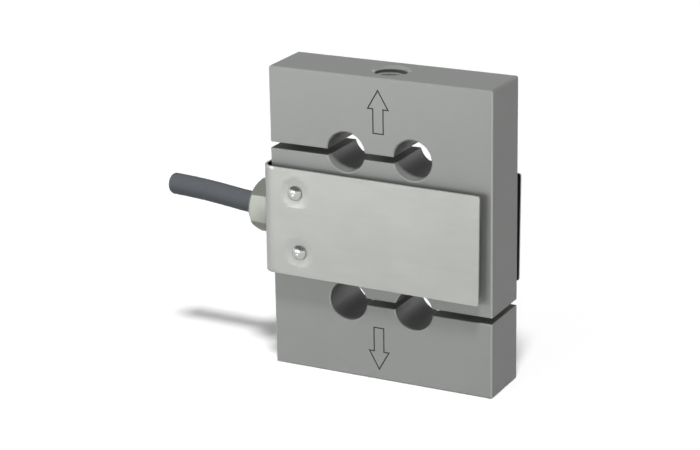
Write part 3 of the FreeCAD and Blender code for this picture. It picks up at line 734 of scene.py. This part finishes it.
def makeCable():
    mouth = Vector((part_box("beam")[0].x, 0, (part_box("gland")[0].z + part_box("gland")[1].z) / 2))
    line = smoothLine("cableLine", [mouth + Vector(point) * mm for point in cableRoute])
    radius = cable["diameter"] / 2 * mm
    rounding = cable["endRound"] * mm
    along = (line[-1] - line[-2]).normalized()
    plainEnd = cable["plainEnd"] * rounding
    rings = [(at, radius) for at in line if (line[-1] - at).dot(along) > plainEnd]
    for step in range(cable["endSteps"] + 1):
        angle = math.pi / 2 * step / cable["endSteps"]
        at = line[-1] - along * rounding * (1 - math.sin(angle))
        rings.append((at, radius - rounding * (1 - math.cos(angle))))
    bm = bmesh.new()
    start = pointing((-1, 0, 0), rings[0][0])
    bmesh.ops.create_circle(bm, cap_ends=True, segments=cable["sides"], radius=radius, matrix=start)
    edges = bm.edges[:]
    for (at, size), (after, nextSize) in zip(rings, rings[1:]):
        made = bmesh.ops.extrude_edge_only(bm, edges=edges)["geom"]
        loop = [part for part in made if isinstance(part, bmesh.types.BMVert)]
        edges = [part for part in made if isinstance(part, bmesh.types.BMEdge)]
        bmesh.ops.translate(bm, vec=after - at, verts=loop)
        bmesh.ops.scale(bm, vec=(1, nextSize / size, nextSize / size), verts=loop,
                        space=Matrix.Translation(-after))
    bmesh.ops.edgeloop_fill(bm, edges=edges)
    bmesh.ops.recalc_face_normals(bm, faces=bm.faces)
    piece = smoothed(newPiece("cableSheath", bm, finishes["cable_sheath"]), sharpAngle=50)
    dressed(piece, "cable_sheath", "cable")
    length = sum((after - before).length for before, after in zip(line, line[1:]))
    return length


print("cable length in mm:", round(makeCable() / mm, 2))


# The remaining nodes keep their shape and get the finish of their slot

slots = {part["node"]: part["material_slot"] for part in frame["record"]["subparts"]}
for node, thing in frame["nodes"].items():
    if not thing.hide_render:
        thing.data.materials.clear()
        thing.data.materials.append(finishes[slots[node]])
print("inner pieces finished")


# Studio

studio = {
    "ambient": 0.17,          # what unseen surroundings add
    "ceiling": (0.0, 0.5, 1.0, 0.06),    # from and to these heights of a ray, from white to dim
    "floorWidth": 8.0,        # metres
    "floorDrop": 0.02,        # millimetres below the part's bottom face
    "floorShade": 0.3,        # how much light the floor gives back to the object
    "floorLift": 0.11,        # what whitens the floor where it is seen
    "floorMirror": 0.5,       # how much of that whiteness shows in the metal
    "overhead": {"direction": (0.156, -0.34, 1.0), "strength": 2.42, "spread": 10},
    "key": {"place": (-0.19, -0.4, 0.06), "width": 0.34, "height": 0.2, "power": 0.87},
}
view = {
    "turn": 27.337,           # degrees round from the front
    "tilt": 18.57,
    "roll": -1.023,
    "distance": 0.472,
    "target": (-0.010154, 0, 0.030666),
    "lens": 116.32,
}


def seenRays(tree, mirror=1.0):
    # 1 for what the eye or glass looks at, and the given share for a reflection
    path = tree.nodes.new("ShaderNodeLightPath")
    total = path.outputs["Is Camera Ray"]
    for name, share in (("Is Glossy Ray", mirror), ("Is Transmission Ray", 1.0)):
        part = tree.nodes.new("ShaderNodeMath")
        part.operation = "MULTIPLY_ADD"
        part.use_clamp = True
        tree.links.new(path.outputs[name], part.inputs[0])
        part.inputs[1].default_value = share
        tree.links.new(total, part.inputs[2])
        total = part.outputs[0]
    return total


def makeWorld():
    world = bpy.data.worlds.new("studioWorld")
    bpy.context.scene.world = world
    world.use_nodes = True
    tree = world.node_tree
    background = tree.nodes["Background"]
    background.inputs["Color"].default_value = (1, 1, 1, 1)
    # White round the horizon and darker overhead, as a lit backdrop under a dim ceiling
    ray = tree.nodes.new("ShaderNodeTexCoord")
    parts = tree.nodes.new("ShaderNodeSeparateXYZ")
    tree.links.new(ray.outputs["Generated"], parts.inputs[0])
    ceiling = tree.nodes.new("ShaderNodeMapRange")
    ceiling.interpolation_type = "SMOOTHSTEP"
    for name, value in zip(("From Min", "From Max", "To Min", "To Max"), studio["ceiling"]):
        ceiling.inputs[name].default_value = value
    tree.links.new(parts.outputs["Z"], ceiling.inputs["Value"])
    level = tree.nodes.new("ShaderNodeMapRange")
    level.inputs["To Min"].default_value = studio["ambient"]
    tree.links.new(ceiling.outputs[0], level.inputs["To Max"])
    tree.links.new(seenRays(tree), level.inputs["Value"])
    tree.links.new(level.outputs[0], background.inputs["Strength"])


def makeFloor():
    bm = bmesh.new()
    bmesh.ops.create_grid(bm, x_segments=1, y_segments=1, size=studio["floorWidth"] / 2)
    bmesh.ops.translate(bm, vec=(0, 0, -studio["floorDrop"] * mm), verts=bm.verts)
    finish = Finish("floorPaint", {"Roughness": 0.9, "Specular IOR Level": 0.0})
    seen = seenRays(finish.tree, studio["floorMirror"])
    finish.set("Base Color", finish.colours(seen, (studio["floorShade"],) * 3 + (1,), (1, 1, 1, 1)))
    lift = finish.colours(seen, (0, 0, 0, 1), (studio["floorLift"],) * 3 + (1,))
    finish.set("Emission Color", lift)
    finish.shader.inputs["Emission Strength"].default_value = 1
    newPiece("floor", bm, finish.material)


def makeLights():
    overhead = studio["overhead"]
    sun = bpy.data.lights.new("overhead", "SUN")
    sun.energy = overhead["strength"]
    sun.angle = math.radians(overhead["spread"])
    lamp = bpy.data.objects.new("overhead", sun)
    lamp.rotation_euler = Vector(overhead["direction"]).to_track_quat("Z", "Y").to_euler()
    lamp.visible_glossy = False
    key = studio["key"]
    panel = bpy.data.lights.new("key", "AREA")
    panel.shape = "RECTANGLE"
    panel.energy = key["power"]
    panel.size = key["width"]
    panel.size_y = key["height"]
    box = bpy.data.objects.new("key", panel)
    box.location = key["place"]
    aim = Vector(key["place"]) - Vector(view["target"])
    box.rotation_euler = aim.to_track_quat("Z", "Y").to_euler()
    for thing in (lamp, box):
        bpy.context.scene.collection.objects.link(thing)


def makeCamera():
    turn, tilt, roll = (math.radians(view[key]) for key in ("turn", "tilt", "roll"))
    back = Vector((math.sin(turn) * math.cos(tilt), -math.cos(turn) * math.cos(tilt), math.sin(tilt)))
    right = (-back).cross(Vector((0, 0, 1))).normalized()
    up = right.cross(-back)
    across = right * math.cos(roll) + up * math.sin(roll)
    upwards = up * math.cos(roll) - right * math.sin(roll)
    data = bpy.data.cameras.new("camera")
    data.lens = view["lens"]
    data.sensor_width = 36
    data.clip_start = 0.01
    data.clip_end = 50
    camera = bpy.data.objects.new("camera", data)
    place = Vector(view["target"]) + back * view["distance"]
    camera.matrix_world = (Matrix.Translation(place)
                           @ Matrix((across, upwards, back)).transposed().to_4x4())
    bpy.context.scene.collection.objects.link(camera)
    bpy.context.scene.camera = camera


makeWorld()
makeFloor()
makeLights()
makeCamera()
bpy.context.scene.view_settings.view_transform = "Standard"
print("studio made")
